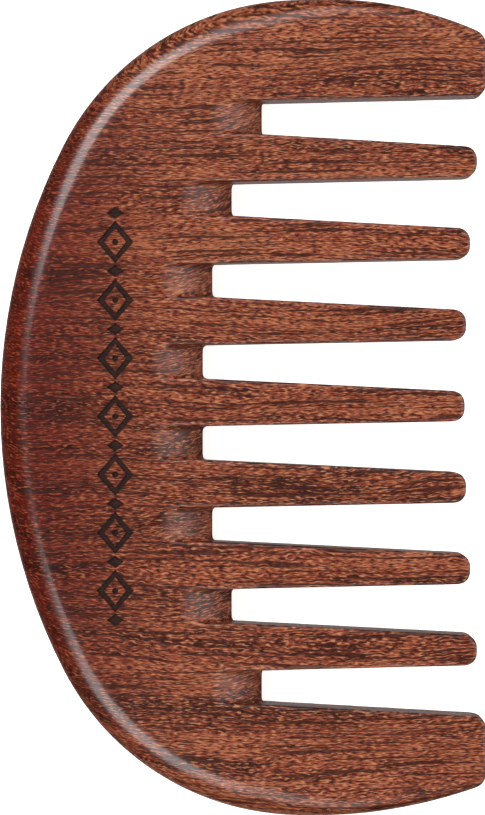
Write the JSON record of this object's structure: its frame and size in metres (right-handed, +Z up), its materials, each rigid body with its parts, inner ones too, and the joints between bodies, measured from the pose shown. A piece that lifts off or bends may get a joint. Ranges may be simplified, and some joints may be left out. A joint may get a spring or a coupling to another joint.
{
  "type": "beard comb",
  "caption": "Wide-tooth wooden comb: an arched back with a half-round rim, tapered teeth between two broad end teeth, slopes into every gap, and a shallow frieze on one face.",
  "frame": {"origin": "middle of the flat underside's box, with the comb lying flat", "axes": "+X from the arched back to the tips of the teeth, +Y along the comb to its left end, +Z up through the thickness"},
  "size_m": [0.0714, 0.12, 0.009],
  "materials": {
    "wood": "oiled and polished solid rosewood, grain along the teeth, with a burnt frieze"
  },
  "bodies": {
    "root": {"back": "wood", "left_end_tooth": "wood", "right_end_tooth": "wood", "tooth_1": "wood", "tooth_2": "wood", "tooth_3": "wood", "tooth_4": "wood", "tooth_5": "wood", "tooth_6": "wood", "tooth_7": "wood"}
  },
  "joints": []
}
